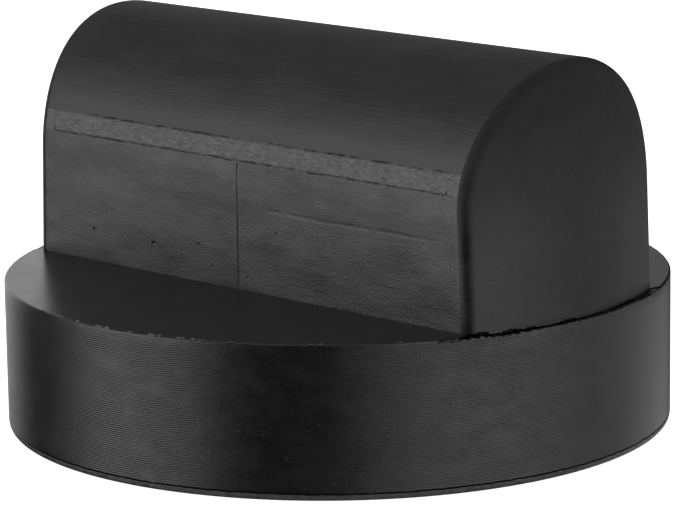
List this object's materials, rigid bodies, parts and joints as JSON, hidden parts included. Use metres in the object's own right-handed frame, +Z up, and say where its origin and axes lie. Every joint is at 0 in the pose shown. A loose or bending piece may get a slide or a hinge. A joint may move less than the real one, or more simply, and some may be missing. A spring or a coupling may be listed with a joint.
{
  "type": "rubber jack pad",
  "caption": "Moulded rubber jack pad: a round base disc with a round-nosed block across its top, whose drafted ends follow the rim.",
  "frame": {"origin": "centre of the flat underside of the base disc", "axes": "+Z up through the disc towards the crest of the nose, +X along the block, +Y across the block"},
  "size_m": [0.065, 0.065, 0.0382],
  "materials": {
    "rubber": "satin moulded, fine turned lines round the disc"
  },
  "bodies": {
    "root": {"jack_pad": "rubber"}
  },
  "joints": []
}
